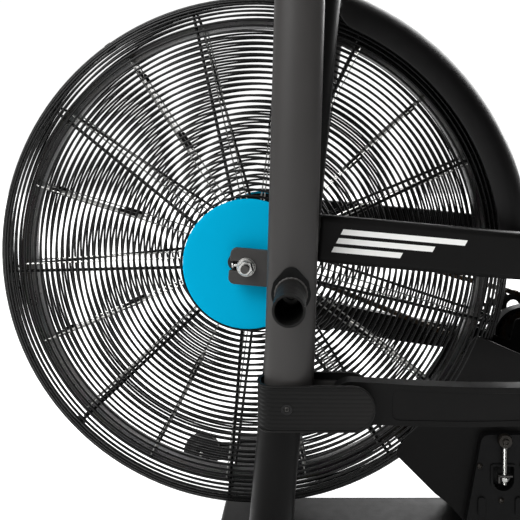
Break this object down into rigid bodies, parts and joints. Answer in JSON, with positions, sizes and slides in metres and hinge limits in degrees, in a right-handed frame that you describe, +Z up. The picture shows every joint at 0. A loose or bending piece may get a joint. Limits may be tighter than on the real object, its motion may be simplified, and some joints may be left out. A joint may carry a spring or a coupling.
{
  "type": "air bike",
  "caption": "Fan exercise bike with a wire fan cage, swinging arm levers linked to the cranks, chain drive and an adjustable saddle.",
  "frame": {"origin": "centre of the bounding box at floor level", "axes": "-X is the bike's front (the fan), +Z up, the rider's left is -Y"},
  "size_m": [1.255, 0.67, 1.2535],
  "materials": {
    "frame_paint": "satin black powder coat",
    "lever_paint": "satin charcoal powder coat",
    "black_plastic": "fine moulded grain",
    "cover_plastic": "ribbed charcoal moulding",
    "wire_black": "satin black coated wire",
    "disc_blue": "satin blue",
    "fan_metal": "dull dark metal",
    "steel": "bright zinc",
    "chain_steel": "oiled chain, brown and dark",
    "rubber_black": "matte rubber",
    "saddle_vinyl": "grained black vinyl"
  },
  "bodies": {
    "frame": {"floor_beam": "frame_paint", "front_stabiliser": "frame_paint", "rear_stabiliser": "frame_paint", "front_end_cap_left": "rubber_black", "front_end_cap_right": "rubber_black", "rear_end_cap_left": "rubber_black", "rear_end_cap_right": "rubber_black", "mast_left": "frame_paint", "mast_right": "frame_paint", "mast_bridge": "frame_paint", "support_bar_left": "frame_paint", "support_bar_right": "frame_paint", "gusset_left": "frame_paint", "gusset_right": "frame_paint", "crank_housing": "frame_paint", "seat_tube": "frame_paint", "chain_cover": "black_plastic", "drive_front_cover": "black_plastic", "chain_tensioner": "steel", "shroud": "black_plastic", "cage_left": "wire_black", "cage_right": "wire_black", "hub_disc_left": "disc_blue", "hub_disc_right": "disc_blue", "fan_axle": "steel", "fan_chain": "chain_steel", "drive_chain": "chain_steel", "console": "black_plastic"},
    "fan": {"fan_wheel": "fan_metal", "fan_sprocket": "steel"},
    "middle_shaft": {"mid_shaft": "steel", "mid_sprocket_large": "steel", "mid_sprocket_small": "steel"},
    "crank": {"crank_axle": "steel", "chainring": "steel", "crank_left": "steel", "crank_right": "steel", "crank_outer_left": "frame_paint", "crank_outer_right": "frame_paint"},
    "pedal_left_body": {"pedal_left": "rubber_black"},
    "pedal_right_body": {"pedal_right": "rubber_black"},
    "lever_left_body": {"lever_left": "lever_paint", "grip_left": "rubber_black", "lever_cover_left": "cover_plastic"},
    "lever_right_body": {"lever_right": "lever_paint", "grip_right": "rubber_black", "lever_cover_right": "cover_plastic"},
    "link_left_body": {"link_bar_left": "lever_paint"},
    "link_right_body": {"link_bar_right": "lever_paint"},
    "seat_post_body": {"seat_post": "steel"},
    "seat_slider_body": {"seat_slider": "frame_paint", "saddle": "saddle_vinyl"},
    "post_knob_body": {"post_knob": "black_plastic"},
    "slider_knob_body": {"slider_knob": "black_plastic"},
    "wheel_left_body": {"transport_wheel_left": "rubber_black"},
    "wheel_right_body": {"transport_wheel_right": "rubber_black"},
    "foot_left_body": {"rear_foot_left": "rubber_black"},
    "foot_right_body": {"rear_foot_right": "rubber_black"},
    "button_start_body": {"console_button_start": "rubber_black"},
    "button_stop_body": {"console_button_stop": "rubber_black"}
  },
  "joints": [
    {"name": "fan_spin", "type": "hinge", "parent": "frame", "child": "fan", "pos_m": [-0.2775, 0, 0.45], "axis": [0, -1, 0], "continuous": true},
    {"name": "middle_shaft_spin", "type": "hinge", "parent": "frame", "child": "middle_shaft", "pos_m": [0.1145, 0, 0.317], "axis": [0, -1, 0], "continuous": true},
    {"name": "crank_spin", "type": "hinge", "parent": "frame", "child": "crank", "pos_m": [0.2425, 0, 0.3], "axis": [0, -1, 0], "continuous": true},
    {"name": "pedal_left_spin", "type": "hinge", "parent": "crank", "child": "pedal_left_body", "pos_m": [0.27958, -0.29, 0.46591], "axis": [0, 1, 0], "continuous": true},
    {"name": "pedal_right_spin", "type": "hinge", "parent": "crank", "child": "pedal_right_body", "pos_m": [0.20542, 0.29, 0.13409], "axis": [0, 1, 0], "continuous": true},
    {"name": "lever_left_swing", "type": "hinge", "parent": "frame", "child": "lever_left_body", "pos_m": [-0.2225, -0.208, 0.437], "axis": [0, 1, 0], "range_deg": [-14.6, 21.2]},
    {"name": "lever_right_swing", "type": "hinge", "parent": "frame", "child": "lever_right_body", "pos_m": [-0.2225, 0.208, 0.437], "axis": [0, 1, 0], "range_deg": [-21.2, 14.6]},
    {"name": "link_left_pivot", "type": "hinge", "parent": "lever_left_body", "child": "link_left_body", "pos_m": [-0.16, -0.208, 0.32], "axis": [0, 1, 0], "range_deg": [-21.2, 14.6]},
    {"name": "link_right_pivot", "type": "hinge", "parent": "lever_right_body", "child": "link_right_body", "pos_m": [-0.1738, 0.208, 0.31362], "axis": [0, 1, 0], "range_deg": [-14.6, 21.2]},
    {"name": "seat_height", "type": "slide", "parent": "frame", "child": "seat_post_body", "axis": [0.1599, 0, 0.9871], "range_m": [-0.12, 0.05]},
    {"name": "seat_fore_aft", "type": "slide", "parent": "seat_post_body", "child": "seat_slider_body", "axis": [1, 0, 0], "range_m": [-0.05, 0.05]},
    {"name": "seat_height_pin", "type": "slide", "parent": "frame", "child": "post_knob_body", "axis": [0.9871, 0, -0.1599], "range_m": [0, 0.01], "stiffness_N_per_m": 900},
    {"name": "seat_fore_aft_pin", "type": "slide", "parent": "seat_slider_body", "child": "slider_knob_body", "axis": [0, -1, 0], "range_m": [0, 0.008], "stiffness_N_per_m": 900},
    {"name": "transport_wheel_left_spin", "type": "hinge", "parent": "frame", "child": "wheel_left_body", "pos_m": [-0.3995, -0.2633, 0.046], "axis": [0, 1, 0], "continuous": true},
    {"name": "transport_wheel_right_spin", "type": "hinge", "parent": "frame", "child": "wheel_right_body", "pos_m": [-0.3995, 0.2633, 0.046], "axis": [0, 1, 0], "continuous": true},
    {"name": "rear_foot_left_turn", "type": "hinge", "parent": "frame", "child": "foot_left_body", "pos_m": [0.5945, -0.215, 0], "axis": [0, 0, 1], "range_deg": [-360, 360]},
    {"name": "rear_foot_right_turn", "type": "hinge", "parent": "frame", "child": "foot_right_body", "pos_m": [0.5945, 0.215, 0], "axis": [0, 0, 1], "range_deg": [-360, 360]},
    {"name": "console_start_press", "type": "slide", "parent": "frame", "child": "button_start_body", "axis": [-0.788, 0, -0.6157], "range_m": [0, 0.0015], "stiffness_N_per_m": 1500},
    {"name": "console_stop_press", "type": "slide", "parent": "frame", "child": "button_stop_body", "axis": [-0.788, 0, -0.6157], "range_m": [0, 0.0015], "stiffness_N_per_m": 1500}
  ],
  "couplings": [
    {"joint": "middle_shaft_spin", "follows": "fan_spin", "ratio": 0.56},
    {"joint": "crank_spin", "follows": "fan_spin", "ratio": 0.20632},
    {"joint": "lever_right_swing", "follows": "lever_left_swing", "ratio": -1},
    {"joint": "link_left_pivot", "follows": "lever_left_swing", "ratio": -1},
    {"joint": "link_right_pivot", "follows": "lever_left_swing", "ratio": 1}
  ]
}
